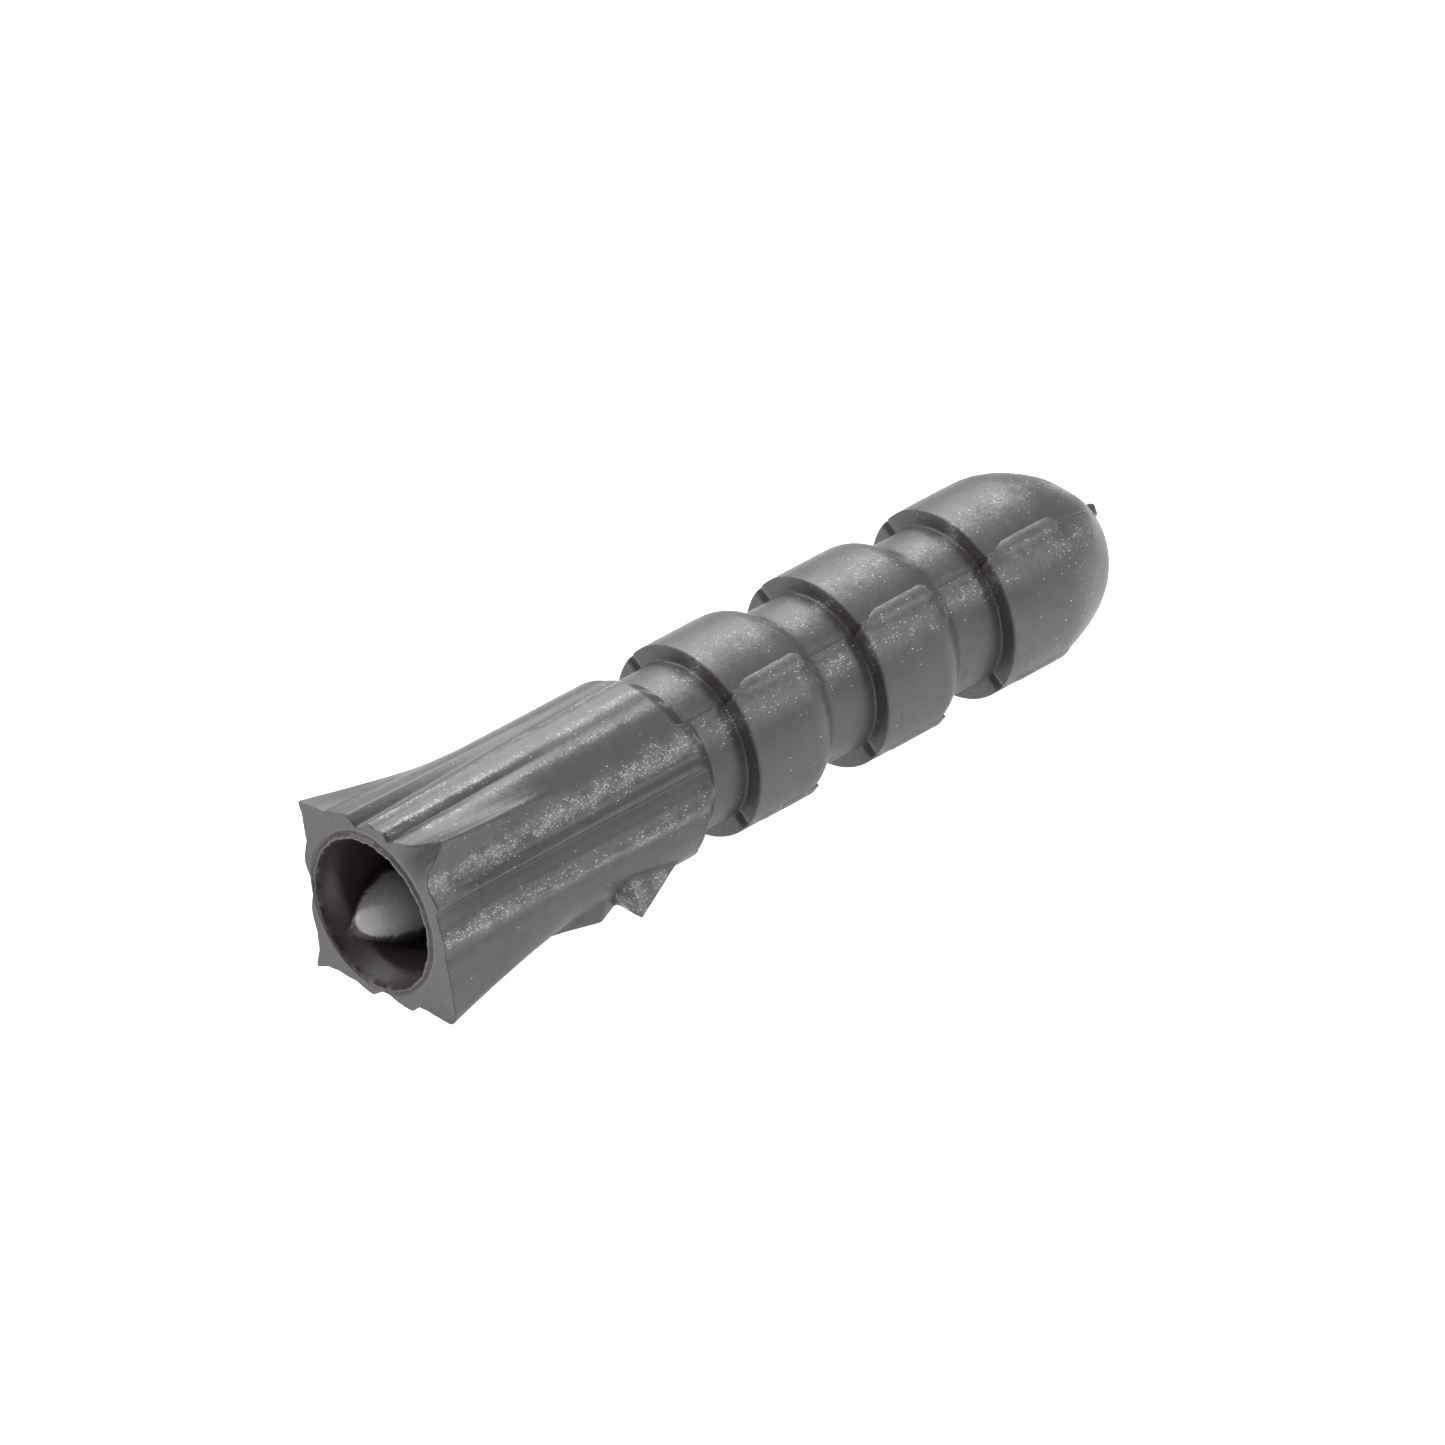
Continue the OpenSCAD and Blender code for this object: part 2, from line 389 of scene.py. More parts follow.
TURN_STEP = 0.8
FIN_TURN_STEP = 0.35
FIN_HALF_TURN = 7
BACK_OVERLAP = 0.75
EDGE = 0.06

# Corners of the mouth that are worn back: turn, half width in degrees, and depth at the face.
WORN_CORNERS = ((45, 6, 0.85), (135, 8, 0.12))
WORN_LEN = 2.4

# The painted brown shade on the face of the mouth is strongest at this turn.
MOST_SHADED_FACE_TURN = 250

# A groove, which gets painted shade, is skin that lies deeper than the mean of the columns beside it.
GROOVE_SPAN = 10
GROOVE_DEPTH = 0.12

# Bands of the collar with painted glints and a painted sheen: turn at the mouth, turn at the back, half width
# in degrees, strength.
PAINTED_GLINT_BANDS = ((5, -4, 2.5, 1.2), (18, 13, 2.5, 1.2), (30, 27, 2, 0.7), (61, 55, 5, 1.4), (92, 96, 4, 1.05))


def collar_turns():
    """Turns round the collar, closer together at the fins."""
    turns = [0]
    while turns[-1] < 360 - 1e-6:
        away = min(abs(turn_between(turns[-1], seam_turn)) for seam_turn in SEAM_TURNS.values())
        turns.append(turns[-1] + (FIN_TURN_STEP if away < FIN_HALF_TURN else TURN_STEP))
    turns = np.array(turns[:-1])
    return turns * 360 / (turns[-1] + TURN_STEP)


def corner_set_back(turn):
    """How far the worn corners of the mouth lie behind its face."""
    return sum(depth * bump(turn_between(turn, at), half_turn) for at, half_turn, depth in WORN_CORNERS)


def outside_rows(turn):
    """Rows over the outside of the collar, from behind the bevel to the edge of the mouth."""
    stations = np.concatenate((
        spaced(COLLAR_LEN + BACK_OVERLAP, BEVEL_START - 0.2, 0.1),
        spaced(BEVEL_START - 0.35, EDGE, 0.22),
    ))
    set_back = corner_set_back(turn)
    return [place(turn, collar_radius(turn, y), y + set_back * max(0, 1 - y / WORN_LEN)) for y in stations]


def face_rows(turn):
    """Rows over the face of the mouth, its sunk rim and the ragged lip of the bore."""
    rows = []
    outer = collar_radius(turn, EDGE) - EDGE
    rim = off_centre_radius(turn, RIM_CENTRE, RIM_R)
    for share in (0, 0.08, 0.2, 0.35, 0.5, 0.65, 0.8, 0.92, 1):
        rows.append(place(turn, outer + (rim - outer) * share, corner_set_back(turn) * (1 - share) ** 1.5))
    ragged = 0.03 * np.sin(np.radians(turn * 17)) + 0.02 * np.sin(np.radians(turn * 41 + 50))
    lip = off_centre_radius(turn, LIP_CENTRE, LIP_R) + ragged
    wide = np.clip((rim - lip) / FULL_DEPTH_RIM, 0.3, 1)
    for share, depth in RIM_SECTION:
        rows.append(place(turn, rim + (lip - rim) * share, depth * wide))
    return rows


def inside_rows(turn):
    """Rows down the bore, over the root wall, through the throat and over the back."""
    stations = np.concatenate((
        spaced(0.22, 0.9, 0.17),
        spaced(0.95, 2.2, 0.09),
        spaced(2.3, 4.3, 0.1),
        spaced(4.5, 6.8, 0.35),
        spaced(7.2, ROOT_WALL_FRONT, 1.5),
    ))
    rows = [place(turn, bore_radius(turn, y), y) for y in stations]
    wall = bore_radius(turn, ROOT_WALL_FRONT)
    for share in (0.35, 0.7, 0.95):
        rows.append(place(turn, wall + (THROAT_R - wall) * share, ROOT_WALL_FRONT + 0.02 * share))
    rows += [place(turn, THROAT_R, y) for y in spaced(ROOT_WALL_FRONT + 0.15, COLLAR_LEN, 0.8)]
    rows += [place(turn, radius, COLLAR_LEN + 0.02) for radius in (2.5, 3.2, 3.8)]
    return rows


def collar_spark_and_painted_glint(turn, y):
    """How strongly the collar's grains lean and how many painted glints it gets: most in the bands and on the
    rear barb.
    """
    along = y / COLLAR_LEN
    bands = [
        strength * bump(turn_between(turn, start + (end - start) * along), width * (1 + 0.4 * along))
        for start, end, width, strength in PAINTED_GLINT_BANDS
    ]
    near_mouth = 1 + 0.8 * bump(y - 2.5, 1.8)
    barb = smooth_step(barb_height(turn, y, *REAR_BARB), 0.05, 0.2)
    return 0.1 + np.maximum(np.max(bands, axis=0) * near_mouth, 1.1 * barb)


def paint_collar(piece, loops, turn, outside_count):
    """Paints shade: dark in the bore and brown in the grooves, bevel, rim and face; paints light on the
    bore's one long rib; and says where glints are painted.
    """
    radius = np.hypot(loops[..., 0], loops[..., 2])
    y = loops[..., 1]
    turns = np.broadcast_to(turn, y.shape)
    rim = off_centre_radius(turn, RIM_CENTRE, RIM_R)
    outside = (np.arange(len(loops)) < outside_count).astype(float)[:, None]
    bore = (radius < rim + 0.02) & (y > 0.2) & (outside == 0)
    on_rib = smooth_step(BORE_R - radius, 0.05, 0.35) * bore
    shifts = range(-GROOVE_SPAN, GROOVE_SPAN + 1)
    mean_radius = sum(np.roll(radius, shift, axis=1) for shift in shifts) / len(shifts)
    # Painted shade: darkest in the bore, brown on the rim, in the grooves, on the bevel and on the face.
    bore_shade = (1.5 + 0.5 * smooth_step(y, 0.1, 1.5)) * bore
    rim_shade = 0.8 * bump(radius - rim + 0.22, 0.2) * (y < 0.3) * (1 - outside)
    groove_shade = 0.6 * np.clip((mean_radius - radius) / GROOVE_DEPTH, 0, 1) * outside
    bevel_shade = 0.85 * smooth_step(y, BEVEL_START + 0.1, BEVEL_START + 0.5) * outside
    face_shade = (0.6 + 0.2 * np.cos(np.radians(turns - MOST_SHADED_FACE_TURN))) * (y < 0.9) * (1 - outside)
    painted_shade = np.maximum.reduce([bore_shade, rim_shade, groove_shade, bevel_shade, face_shade])
    # Painted light on the bore's one long rib near the mouth.
    long_rib = on_rib * smooth_step(np.abs(turn_between(turns, SEAM_TURNS["bottom_left"])), 45, 35)
    rib_light = smooth_step(y, 6, 2) * (0.8 + bump(y - 1.2, 0.5))
    # Painted glints in the collar's bands, on the rear barb and a few on the rib.
    spark_and_painted_glint = np.clip(outside * collar_spark_and_painted_glint(turns, y) + 0.2 * on_rib, 0, 1.5)
    paint(piece, painted_shade * (1 - long_rib) - rib_light * long_rib, spark_and_painted_glint)


def make_collar():
    """The collar as one closed skin."""
    turn = collar_turns()
    outside = outside_rows(turn)
    loops = np.array(outside + face_rows(turn) + inside_rows(turn))
    piece = loft("collar", loops, close_rows=True)
    paint_collar(piece, loops, turn, len(outside))
    return piece


# ---- Legs ----

RING_TOP_LEN = 4.6
RAMP_LEN = 1.05
FOOT_ROUNDING = 0.15
EDGE_ROUNDING = 0.12
TOP_END_ROUNDING = 0.75
RAMP_END_ROUNDING = 0.35
NOSE_SHAPE = (1.7, 0.62)
TIP_CUT_OFF = 0.15

# How far a leg's slit faces lie off the diagonal planes, at the skin and at the channel.
SEAM_GAP = 0.006
CHANNEL_GAP = 0.08

CHANNEL_FRONT_R = 1.8
CHANNEL_END_R = 0.6
CHANNEL_END = NOSE_START + 2
PIN_HOLE_R = 0.13
ROOT_INSIDE = 1.2
TIP_FLAT_SHARES = np.array((0.8, 0.55, 0.3))
SLIT_TURN = 45
WIDEST_GAP_SHARE = 0.69

# By the slits the front edge of each ring is worn back, and the end of the nose is fuller on one side.
FRONT_WEAR = 0.15
FRONT_WEAR_LEN = 1.2
TIP_BULGE = 0.17
TIP_BULGE_Y = 45.4
TIP_BULGE_LEN = 1.3
TIP_BULGE_TURN = 110

# Turns of the two bands of the legs with painted glints, and their half width in degrees.
LEG_PAINTED_GLINT_TURNS = (16, 58)
LEG_PAINTED_GLINT_HALF_TURN = 8


def nose_radius(y):
    """Radius of the skin at the rings' tops and over the nose."""
    share = np.clip((y - NOSE_START) / (TIP_END + TIP_CUT_OFF - NOSE_START), 0, 1)
    return RING_R * blunt_nose(share, *NOSE_SHAPE)


def leg_outline():
    """Outline of a leg along the axis as y and radius, from inside the collar to the middle of the tip."""
    corners = [(COLLAR_LEN - ROOT_INSIDE, NECK_R, 0)]
    for front in RING_FRONTS:
        corners += [(front, NECK_R, FOOT_ROUNDING), (front, RING_R, EDGE_ROUNDING)]
        if front < RING_FRONTS[-1]:
            top_end = front + RING_TOP_LEN
            ramp_end = top_end + RAMP_LEN
            corners += [(top_end, RING_R, TOP_END_ROUNDING), (ramp_end, NECK_R, RAMP_END_ROUNDING)]
    y, radius = rounded_path(corners + [(NOSE_START, RING_R, 0)], step=0.2)
    nose_y = NOSE_START + (TIP_END - NOSE_START) * np.sin(np.linspace(0, math.pi / 2, 50))[1:]
    nose_r = nose_radius(nose_y)
    flat_r = nose_r[-1] * TIP_FLAT_SHARES
    return np.concatenate((y, nose_y, TIP_END + 0 * flat_r)), np.concatenate((radius, nose_r, flat_r))


def channel_radius(y):
    """Radius of the narrowing channel between the legs."""
    share = np.clip((y - COLLAR_LEN) / (CHANNEL_END - COLLAR_LEN), 0, 1)
    cone = CHANNEL_FRONT_R + (CHANNEL_END_R - CHANNEL_FRONT_R) * share
    return np.where(y > CHANNEL_END, PIN_HOLE_R, cone)


def edge_turn(radius, gap):
    """Turn from a leg's middle to its slit face, which lies gap off the diagonal plane; never below 0."""
    return SLIT_TURN - np.degrees(np.arcsin(np.minimum(gap / radius, WIDEST_GAP_SHARE)))


def leg_shares():
    """Shares across a leg's outside, from -1 at one slit to 1 at the other, closer together at the slits."""
    return np.concatenate((
        spaced(-1, -0.93, 0.012),
        spaced(-0.93, 0.93, 0.019)[1:-1],
        spaced(0.93, 1, 0.012),
    ))


def leg_outside(middle, line_y, line_r, shares):
    """Points over the outside of a leg, with the small unevenness of its moulded skin."""
    y = line_y[:, None] + 0 * shares
    radius = line_r[:, None] + 0 * shares
    offset = shares * edge_turn(radius, SEAM_GAP)
    turn = middle + offset
    to_edge = (1 - np.abs(shares)) * math.radians(SLIT_TURN) * radius

    on_ring = smooth_step(radius, NECK_R + 0.5, RING_R - 0.1)
    on_nose = smooth_step(y, NOSE_START + 0.6, NOSE_START + 1)
    on_neck = (radius < NECK_R + 0.05) & (y < NOSE_START) & (y > COLLAR_LEN)
    seam_line = (0.04 * on_ring + 0.05 * on_nose) * bump(to_edge, 0.07)
    seam_ridge = 0.06 * on_neck * bump(to_edge, 0.14 + 0.16 * (offset > 0))
    radius = radius - seam_line + seam_ridge + waviness(turn, y, seed=middle / 90)

    by_tip = bump(y - TIP_BULGE_Y, TIP_BULGE_LEN) * (y > NOSE_START)
    bulge = TIP_BULGE * np.cos(np.radians(turn_between(turn, TIP_BULGE_TURN))).clip(0)
    dents = 0.03 * np.sin(np.radians(7 * turn) + 2 * y)
    radius = radius + by_tip * (bulge + dents)

    for front in RING_FRONTS:
        wear_end = front + FRONT_WEAR_LEN
        behind = (y >= front - 0.01) & (y < wear_end)
        y = y + FRONT_WEAR * bump(to_edge, 0.2) * behind * (1 - smooth_step(y, front + 0.1, wear_end))
    return place(turn, radius, y)


def leg_inside(middle, line_y, line_r):
    """Points over the channel side of a leg. They are spread out where the outline goes straight outwards."""
    steps = np.maximum(np.diff(line_y), 0.03)
    along = np.concatenate(([0], np.cumsum(steps)))
    y = line_y[0] + along * (TIP_END - line_y[0]) / along[-1]
    radius = np.minimum(channel_radius(y), line_r - 0.15)
    across = np.linspace(1, -1, 9)
    return place(middle + across * edge_turn(radius, CHANNEL_GAP)[:, None], radius[:, None], y[:, None])


def slit_face(start, end, shares):
    """Points between the last column of one surface and the first column of the next."""
    return start[:, -1:, :] + (end[:, :1, :] - start[:, -1:, :]) * shares[:, None]


def paint_leg(piece, shape, line_y, line_r, turn, outside_count):
    """Paints brown shade on the shoulders, their feet, the creases and the inside, and marks two bands for
    painted glints.
    """
    slope_r, slope_y = np.gradient(line_r), np.gradient(line_y)
    steep = np.abs(slope_r) / (np.hypot(slope_r, slope_y) + 1e-9)
    shoulder = smooth_step(steep, 0.1, 0.6) * (slope_r > 0)
    by_shoulder = np.max([bump(line_y - front + 0.1, 0.25) for front in RING_FRONTS], axis=0)
    foot = bump(line_r - NECK_R, 0.12) * by_shoulder
    ramp_ends = [front + RING_TOP_LEN + RAMP_LEN for front in RING_FRONTS[:2]]
    crease = np.max([bump(line_y - end, 0.4) for end in ramp_ends], axis=0)
    # Painted brown shade on the inside of the leg, on the shoulders, their feet and the creases.
    painted_shade = np.full(shape, 0.6)
    painted_shade[:, :outside_count] = np.clip(0.7 * shoulder + 0.35 * foot + 0.25 * crease, 0, 1)[:, None]

    on_neck = ((line_r < NECK_R + 0.05) & (line_y < NOSE_START))[:, None]
    # Two bands of painted glints along each leg.
    top_glint_band, seam_glint_band = (bump(turn_between(turn, at), LEG_PAINTED_GLINT_HALF_TURN) for at in LEG_PAINTED_GLINT_TURNS)
    seam_glint_band = seam_glint_band * (0.6 + 0.4 * on_neck)
    spark_and_painted_glint = np.zeros(shape)
    spark_and_painted_glint[:, :outside_count] = np.clip(0.1 + 0.75 * top_glint_band + 0.8 * seam_glint_band, 0, 1)
    paint(piece, painted_shade, spark_and_painted_glint)


def make_leg(side):
    """One leg as a closed skin, which starts inside the collar."""
    middle = LEG_TURNS[side]
    line_y, line_r = leg_outline()
    shares = leg_shares()
    outer = leg_outside(middle, line_y, line_r, shares)
    inner = leg_inside(middle, line_y, line_r)
    wall_shares = np.array((0.12, 0.4, 0.7))
    wall_in = slit_face(outer, inner, wall_shares)
    wall_out = slit_face(inner, outer, 1 - wall_shares[::-1])
    loops = np.concatenate((outer, wall_in, inner, wall_out), axis=1)
    piece = loft("leg_" + side, loops)
    turn = middle + shares * edge_turn(line_r[:, None], SEAM_GAP)
    paint_leg(piece, loops.shape[:2], line_y, line_r, turn, len(shares))
    return piece


# ---- Seam webs and gate nub ----

WEB_HALF_W = 0.5
WEB_LIFT = 0.12
WEB_SUNK = 0.25
WEB_INSET = 0.42
WEB_OVERHANG = 0.1
LAST_WEB_END = NOSE_START + 0.95

NUB_CORNERS = 24


def web_loops(turn, start, end):
    """One rounded bar over a slit, from start to end along the axis."""
    along = np.concatenate((np.linspace(0, 0.08, 5), np.linspace(0.12, 0.88, 14), np.linspace(0.92, 1, 5)))
    across = np.linspace(-1, 1, 15)
    loops = []
    for share in along:
        y = start + (end - start) * share
        fullness = smooth_step(share, -0.02, 0.25) * smooth_step(1.02 - share, 0, 0.12)
        half_w = WEB_HALF_W * (0.5 + 0.5 * fullness)
        base = nose_radius(y)
        height = WEB_LIFT * fullness * (1 - across ** 2)
        over = place(turn + np.degrees(across * half_w / base), base + height - 0.02, y)
        under = place(turn + np.degrees(across[::-1] * half_w * 0.9 / base), base - WEB_SUNK, y)
        loops.append(np.concatenate((over, under)))
    return np.array(loops)


def make_webs(seam):
    """The three little bars that bridge one slit at the rings."""
    ends = [front + RING_TOP_LEN + WEB_OVERHANG for front in RING_FRONTS[:-1]] + [LAST_WEB_END]
    bars = []
    for number, (front, end) in enumerate(zip(RING_FRONTS, ends), start=1):
        bar = loft(f"web_{seam}_{number}", web_loops(SEAM_TURNS[seam], front + WEB_INSET, end))
        # A touch of painted light and some painted glints on each bar.
        paint(bar, painted_shade=-0.05, spark_and_painted_glint=0.4)
        bars.append(bar)
    return bars


def make_nub():
    """The stub left where the plastic entered the mould, a little torn at its end."""
    low, high = mm_box("gate_nub")
    centre = (low + high) / 2
    radius = (high[0] - low[0]) / 2
    around = np.radians(np.arange(0, 360, 360 // NUB_CORNERS))
    sections = (
        (low[Y] - 0.3, 1.25),
        (low[Y] - 0.05, 1.15),
        (low[Y] + 0.1, 1),
        (high[Y] - 0.12, 0.9),
        (high[Y] - 0.02, 0.7),
    )
    loops = []
    for y, scale in sections:
        torn = 0.05 * np.sin(3 * around + 1) * (y > low[Y] + 0.2)
        loops.append(np.stack((
            centre[0] + radius * scale * np.sin(around),
            y + torn,
            centre[2] + radius * scale * np.cos(around),
        ), axis=-1))
    piece = loft("gate_stub", np.array(loops))
    # The nub is painted a little browner than the plain skin, with no glints.
    paint(piece, painted_shade=0.2, spark_and_painted_glint=0)
    return piece


# ---- Materials ----

# GREY and LIGHT_GREY are the plastic's own mottled tone. The others are painted: brown shade in recesses,
# darker shade in the bore, light on the bore's long rib, a lighter sheen in the glinting bands and the glints
# themselves.
GREY = (0.045, 0.044, 0.049)
LIGHT_GREY = (0.054, 0.053, 0.058)
SHADE_BROWN = (0.030, 0.021, 0.020)
BORE_SHADE_BROWN = (0.026, 0.018, 0.019)
PAINTED_LIGHT_GREY = (0.40, 0.39, 0.39)
PAINTED_SHEEN_GREY = (0.16, 0.16, 0.165)
PAINTED_GLINT_GREY = (0.6, 0.6, 0.61)

# The grains of the eroded skin are a little longer along the axis than across it.
GRAINS_PER_MM = 13
GRAIN_STRETCH = (1, 0.6, 1)


class Shading:
    """One node material, with short calls that make and link its nodes."""

    def __init__(self, name):
        """Starts a material with one Principled shader; its position is a point's place in the object."""
        self.material = bpy.data.materials.new(name)
        self.material.use_nodes = True
        self.nodes = self.material.node_tree.nodes
        self.links = self.material.node_tree.links
        self.shader = self.nodes["Principled BSDF"]
        self.position = self.nodes.new("ShaderNodeTexCoord").outputs["Object"]

    def feed(self, socket, value):
        """Links an output into a socket, or sets the socket to a number, a vector or a colour."""
        if isinstance(value, bpy.types.NodeSocket):
            self.links.new(value, socket)
        elif socket.type == "RGBA":
            socket.default_value = (*value, 1)
        else:
            socket.default_value = value

    def attribute(self, name):
        """A number that paint() stored on the mesh."""
        node = self.nodes.new("ShaderNodeAttribute")
        node.attribute_name = name
        return node.outputs["Fac"]

    def noise(self, per_mm, detail):
        """Soft noise from 0 to 1; per_mm says how fine it is."""
        node = self.nodes.new("ShaderNodeTexNoise")
        node.inputs["Scale"].default_value = per_mm / MM
        node.inputs["Detail"].default_value = detail
        self.links.new(self.position, node.inputs["Vector"])
        return node.outputs["Fac"]

    def spread(self, value, low, high, out_low, out_high):
        """Maps the range low to high onto the range out_low to out_high, and clamps."""
        node = self.nodes.new("ShaderNodeMapRange")
        for name, number in zip(("From Min", "From Max", "To Min", "To Max"), (low, high, out_low, out_high)):
            node.inputs[name].default_value = number
        self.links.new(value, node.inputs["Value"])
        return node.outputs["Result"]

    def mix(self, factor, first, second):
        """Goes from the first colour to the second as factor goes from 0 to 1."""
        node = self.nodes.new("ShaderNodeMix")
        node.data_type = "RGBA"
        self.links.new(factor, node.inputs["Factor"])
        for name, value in (("A", first), ("B", second)):
            self.feed(next(i for i in node.inputs if i.name == name and i.type == "RGBA"), value)
        return next(o for o in node.outputs if o.type == "RGBA")

    def maths(self, kind, *values):
        """One arithmetic step on numbers."""
        node = self.nodes.new("ShaderNodeMath")
        node.operation = kind
        for socket, value in zip(node.inputs, values):
            self.feed(socket, value)
        return node.outputs["Value"]

    def vector_maths(self, kind, *values, scale=None, result="Vector"):
        """One arithmetic step on vectors; scale is the number that a SCALE step multiplies by."""
        node = self.nodes.new("ShaderNodeVectorMath")
        node.operation = kind
        for socket, value in zip(node.inputs, values):
            self.feed(socket, value)
        if scale is not None:
            self.feed(node.inputs["Scale"], scale)
        return node.outputs[result]


def plain_colour(look, painted_shade):
    """Mottled grey, with brown painted shade in the recesses, darker painted shade in the bore and painted
    light on its long rib.
    """
    mottled = look.mix(look.spread(look.noise(per_mm=0.35, detail=3), 0.35, 0.65, 0, 1), GREY, LIGHT_GREY)
    shaded = look.mix(painted_shade, mottled, SHADE_BROWN)
    bore_shaded = look.mix(look.maths("SUBTRACT", painted_shade, 1), shaded, BORE_SHADE_BROWN)
    return look.mix(look.maths("MULTIPLY", painted_shade, -1), bore_shaded, PAINTED_LIGHT_GREY)


def painted_grain_glint(look, grains, spark_and_painted_glint):
    """Painted glints: bright in the middle of the grains picked to glint; the higher the glint strength is,
    the more of them do.
    """
    chance = look.nodes.new("ShaderNodeSeparateColor")
    look.feed(chance.inputs["Color"], grains.outputs["Color"])
    needed = look.spread(look.maths("POWER", spark_and_painted_glint, 1.8), 0, 1, 1, 0.25)
    is_glint = look.maths("GREATER_THAN", chance.outputs["Red"], needed)
    dot = look.spread(grains.outputs["Distance"], 0.15, 0.55, 1, 0)
    return look.maths("MULTIPLY", look.maths("MULTIPLY", is_glint, dot), chance.outputs["Green"])


def grain_normal(look, grains, spark_and_painted_glint):
    """The skin's normal: slowly uneven, and leaning another way on each grain."""
    uneven = look.nodes.new("ShaderNodeBump")
    uneven.inputs["Distance"].default_value = 0.03 * MM
    uneven.inputs["Strength"].default_value = 0.25
    look.feed(uneven.inputs["Height"], look.noise(per_mm=1.6, detail=4))
    lean = look.vector_maths("SUBTRACT", grains.outputs["Color"], (0.5, 0.5, 0.5))
    grain_lean = look.vector_maths("SCALE", lean, scale=look.spread(spark_and_painted_glint, 0, 1, 0.08, 0.32))
    leaning = look.vector_maths("ADD", uneven.outputs["Normal"], grain_lean)
    return look.vector_maths("NORMALIZE", leaning)


def make_plastic():
    """Satin grey moulded plastic with spark-eroded grains, brown painted shade in its recesses, and bands
    with a painted sheen and painted glints.
    """
    look = Shading("moulded_plastic")
    plain = plain_colour(look, look.attribute("painted_shade"))
    patchy = look.spread(look.noise(per_mm=1.0, detail=2), 0.35, 0.65, 0, 1)
    spark_and_painted_glint = look.maths("MULTIPLY", look.attribute("spark_and_painted_glint"), look.maths("ADD", 0.25, patchy))
    # Painted sheen: the glinting bands are painted lighter.
    painted_sheen = look.mix(look.maths("MULTIPLY", spark_and_painted_glint, 0.5), plain, PAINTED_SHEEN_GREY)

    grains = look.nodes.new("ShaderNodeTexVoronoi")
    grains.inputs["Scale"].default_value = GRAINS_PER_MM / MM
    look.feed(grains.inputs["Vector"], look.vector_maths("MULTIPLY", look.position, GRAIN_STRETCH))
    # Painted glints: single grains painted near white.
    colour = look.mix(painted_grain_glint(look, grains, spark_and_painted_glint), painted_sheen, PAINTED_GLINT_GREY)
    look.feed(look.shader.inputs["Base Color"], colour)
    look.feed(look.shader.inputs["Normal"], grain_normal(look, grains, spark_and_painted_glint))
    look.feed(look.shader.inputs["Roughness"], 0.45)
    look.feed(look.shader.inputs["IOR"], 1.5)
    return look.material


def make_floor_material():
    """Pale and matt, with a soft glow round the anchor. Its distances are in metres."""
    look = Shading("floor")
    look.feed(look.shader.inputs["Base Color"], (0.7, 0.7, 0.7))
    look.feed(look.shader.inputs["Roughness"], 0.9)
    look.feed(look.shader.inputs["Specular IOR Level"], 0.1)
    look.feed(look.shader.inputs["Emission Color"], (1, 1, 1))
    distance = look.vector_maths("LENGTH", look.position, result="Value")
    look.feed(look.shader.inputs["Emission Strength"], look.spread(distance, 0.06, 0.2, 0.75, 0.1))
    return look.material


# ---- Stage, lights and camera ----

# The floor lies as low as the bottom leg reaches when the legs are spread.
LEG_SPREAD = math.radians(6)
FLOOR_Z = CAD_BOX[0].z - math.sin(LEG_SPREAD) * (TIP_END - COLLAR_LEN) * MM
FLOOR_SIZE = 6000 * MM
WORLD_STRENGTH = 0.3

# Softboxes: name, azimuth and elevation in degrees, width in metres, power in watts.
LIGHTS = (
    ("softbox", -108, 60, 0.5, 3.65),
    ("back_left", -145, 44, 0.12, 0.25),
    ("back_right", 129, 25, 0.1, 0.5),
    ("front_left", -43, 28, 0.03, 0.62),
)
LIGHT_DISTANCE = 400 * MM
LIGHT_AIM = Vector((0, TIP_END / 2, 0)) * MM

CAMERA_AIM = Vector((8.506, 15.474, 5.751)) * MM
CAMERA_AZIMUTH = 49.66
CAMERA_ELEVATION = 27.19
CAMERA_ROLL = -7.0
CAMERA_DISTANCE = 562 * MM
CAMERA_LENS = 299
CAMERA_SENSOR = 36
CAMERA_CLIP = (10 * MM, 5000 * MM)


def direction(azimuth, elevation):
    """Unit vector from the object; azimuth 0 points along -Y, where the mouth faces, and 90 along +X."""
    a, e = math.radians(azimuth), math.radians(elevation)
    return Vector((math.sin(a) * math.cos(e), -math.cos(a) * math.cos(e), math.sin(e)))


def looking_back(aim, towards, distance):
    """Where a camera or light stands that looks at aim from a direction and a distance."""
    return Matrix.Translation(aim + towards * distance) @ towards.to_track_quat("Z", "Y").to_matrix().to_4x4()


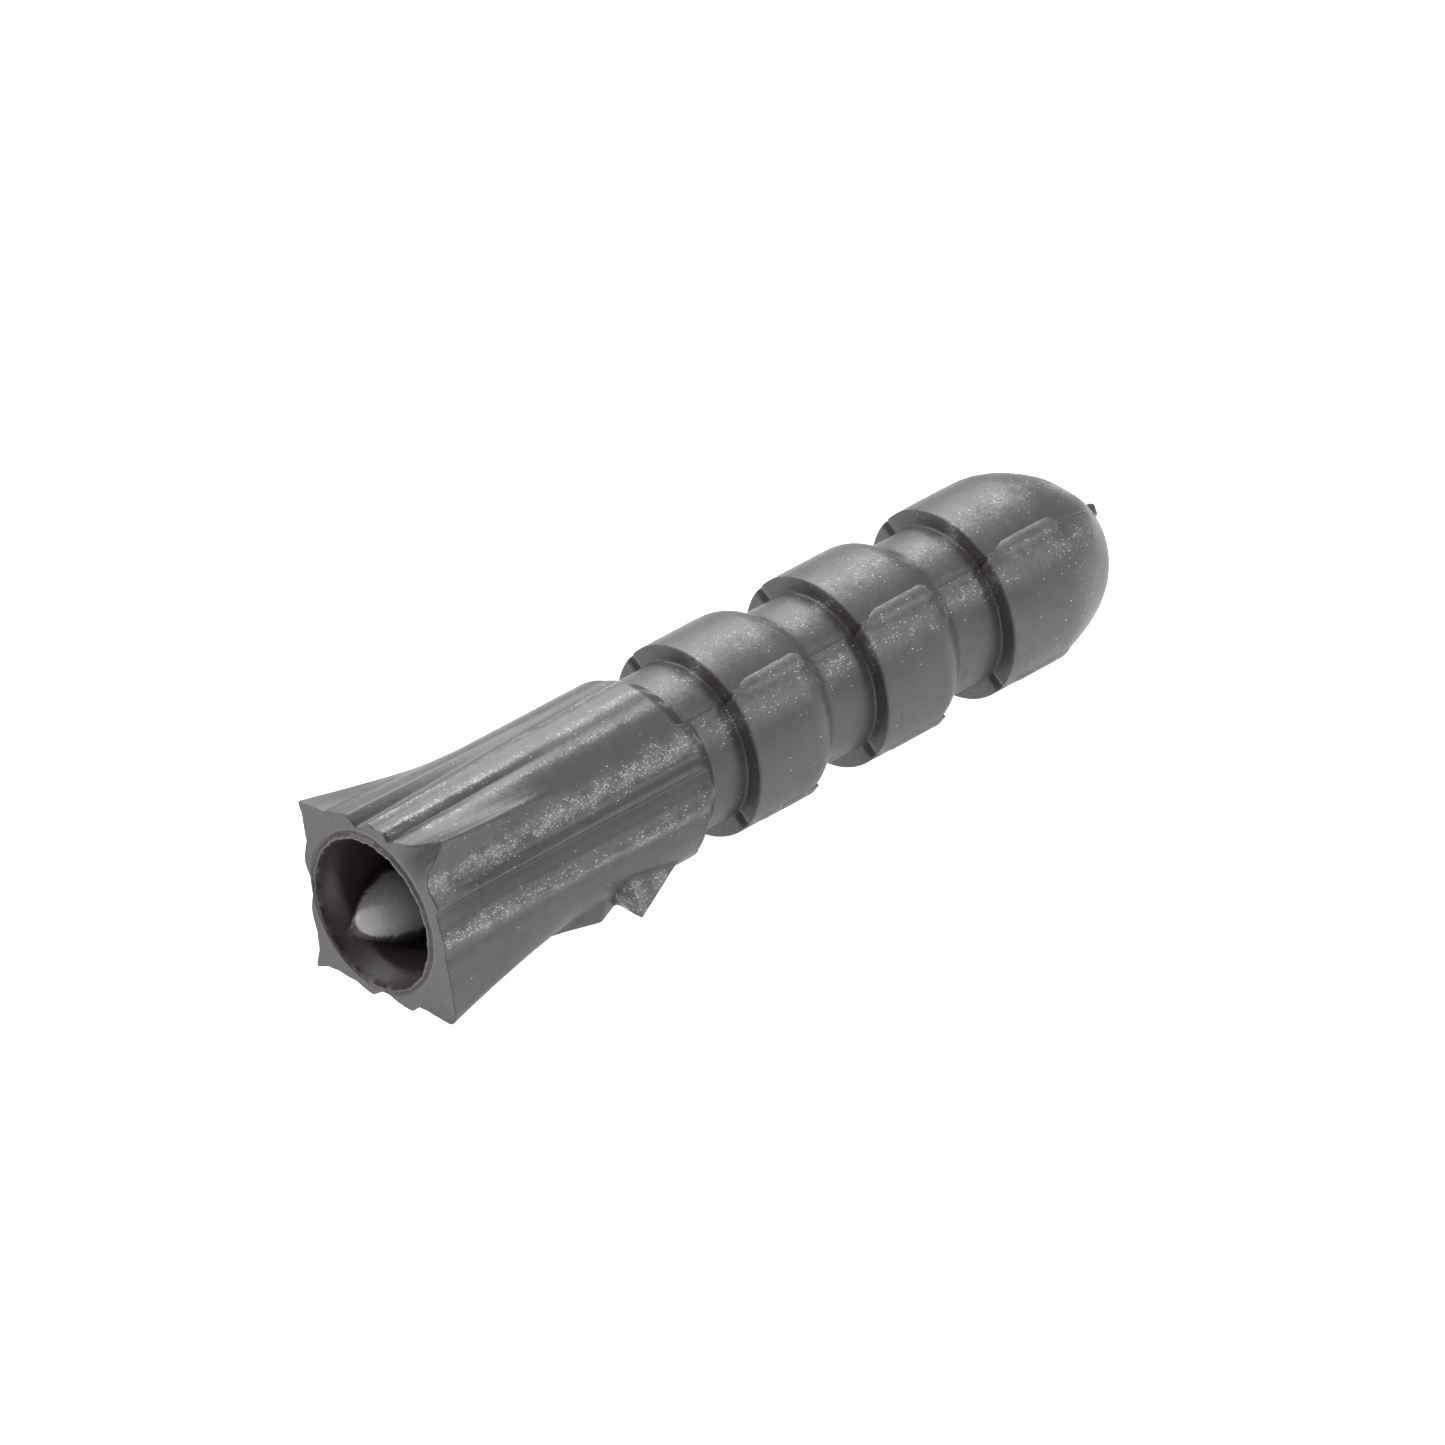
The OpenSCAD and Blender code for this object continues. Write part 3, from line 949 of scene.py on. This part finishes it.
def make_camera():
    """A long lens at the anchor's front right, a little above it."""
    data = bpy.data.cameras.new("camera")
    data.lens = CAMERA_LENS
    data.sensor_width = CAMERA_SENSOR
    data.clip_start, data.clip_end = CAMERA_CLIP
    camera = bpy.data.objects.new("camera", data)
    bpy.context.scene.collection.objects.link(camera)
    level = looking_back(CAMERA_AIM, direction(CAMERA_AZIMUTH, CAMERA_ELEVATION), CAMERA_DISTANCE)
    camera.matrix_world = level @ Matrix.Rotation(math.radians(CAMERA_ROLL), 4, "Z")
    bpy.context.scene.camera = camera


def make_light(name, azimuth, elevation, width, power):
    """A square softbox that faces the anchor."""
    data = bpy.data.lights.new(name, "AREA")
    data.shape = "SQUARE"
    data.size = width
    data.energy = power
    light = bpy.data.objects.new(name, data)
    bpy.context.scene.collection.objects.link(light)
    light.matrix_world = looking_back(LIGHT_AIM, direction(azimuth, elevation), LIGHT_DISTANCE)


def make_stage():
    """A pale floor, soft lights and a white surround."""
    bpy.ops.mesh.primitive_plane_add(size=FLOOR_SIZE, location=(0, 0, FLOOR_Z))
    floor = bpy.context.object
    floor.name = "floor"
    floor.data.materials.append(make_floor_material())
    world = bpy.data.worlds.new("studio")
    bpy.context.scene.world = world
    world.use_nodes = True
    background = world.node_tree.nodes["Background"]
    background.inputs["Color"].default_value = (1, 1, 1, 1)
    background.inputs["Strength"].default_value = WORLD_STRENGTH
    for light in LIGHTS:
        make_light(*light)
    bpy.context.scene.view_settings.view_transform = "Standard"
    bpy.context.scene.view_settings.look = "None"


# ---- Build ----

plastic = make_plastic()


def finish_piece(piece, stands_for=()):
    """Gives a piece the plastic and hides the CAD nodes that it stands for."""
    piece.data.materials.append(plastic)
    if stands_for:
        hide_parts(*stands_for)


collar = make_collar()
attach(collar, "collar")
finish_piece(collar, frame["record"]["behaviour"]["bodies"]["collar"])

for side in LEG_TURNS:
    leg = make_leg(side)
    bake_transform(leg)
    finish_piece(leg, [node for node in frame["nodes"] if node.startswith(f"leg_{side}_")])

for seam, owner in SEAM_OWNERS.items():
    bars = make_webs(seam)
    for bar in bars:
        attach(bar, "leg_" + owner)
        finish_piece(bar)
    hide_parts("seam_webs_" + seam)

nub = make_nub()
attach(nub, "leg_top")
finish_piece(nub, ["gate_nub"])

make_stage()
make_camera()
